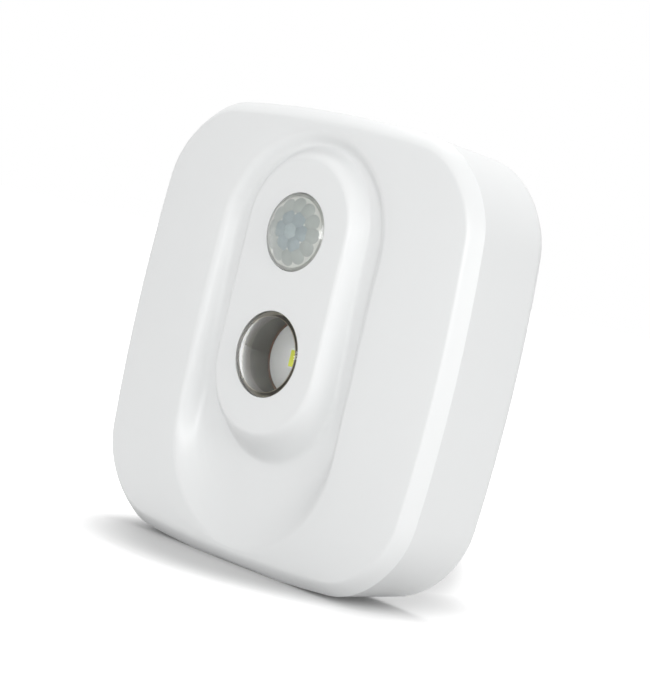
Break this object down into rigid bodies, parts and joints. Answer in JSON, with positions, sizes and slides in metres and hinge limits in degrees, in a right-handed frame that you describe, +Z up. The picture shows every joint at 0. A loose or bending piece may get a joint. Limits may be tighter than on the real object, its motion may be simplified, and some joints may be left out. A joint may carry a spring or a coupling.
{
  "type": "night light",
  "caption": "Rounded-square battery night light with a motion sensor lens and a clear lamp dome on a raised island over a scooped recess.",
  "frame": {"origin": "middle of the bounding box on the surface that the light stands on", "axes": "+X to the light's right as seen from the front, +Y to its back (the wall side), +Z up; the lenses face -Y"},
  "size_m": [0.0794, 0.024, 0.0798],
  "materials": {
    "shell_white": "satin",
    "lens_clear": "clear",
    "lens_milk": "milky",
    "holder_dark": "matte",
    "lamp_board": "matte",
    "package_white": "matte",
    "phosphor": "satin",
    "sensor_can": "satin",
    "sensor_window": "gloss",
    "spacer_white": "matte",
    "detector_brown": "gloss",
    "board_brown": "satin",
    "chip_black": "matte",
    "can_aluminium": "satin",
    "cell_jacket": "gloss",
    "contact_nickel": "satin",
    "switch_steel": "satin",
    "screw_steel": "satin"
  },
  "bodies": {
    "housing": {"front_cover": "shell_white", "rear_housing": "shell_white", "led_lens": "lens_clear", "pir_lens": "lens_milk", "lens_holder": "holder_dark", "led_board": "lamp_board", "led_package": "package_white", "led_phosphor": "phosphor", "pir_sensor": "sensor_can", "pir_window": "sensor_window", "sensor_spacer": "spacer_white", "light_sensor": "detector_brown", "circuit_board": "board_brown", "control_chip": "chip_black", "capacitors": "can_aluminium", "chip_resistors": "chip_black", "cell_left": "cell_jacket", "cell_middle": "cell_jacket", "cell_right": "cell_jacket", "contact_springs": "contact_nickel", "spring_plate": "contact_nickel", "link_plates": "contact_nickel", "button_plate": "contact_nickel", "switch_case": "switch_steel", "housing_screws": "screw_steel", "holder_screws": "screw_steel", "board_screws": "screw_steel"},
    "door": {"battery_door": "shell_white"},
    "mode_slider": {"mode_knob": "shell_white", "switch_stem": "chip_black"}
  },
  "joints": [
    {"name": "door_hinge", "type": "hinge", "parent": "housing", "child": "door", "pos_m": [0, 0.01195, 0.06695], "axis": [1, 0, 0], "range_deg": [0, 75]},
    {"name": "mode_slide", "type": "slide", "parent": "housing", "child": "mode_slider", "axis": [1, 0, 0], "range_m": [-0.002, 0.002]}
  ]
}
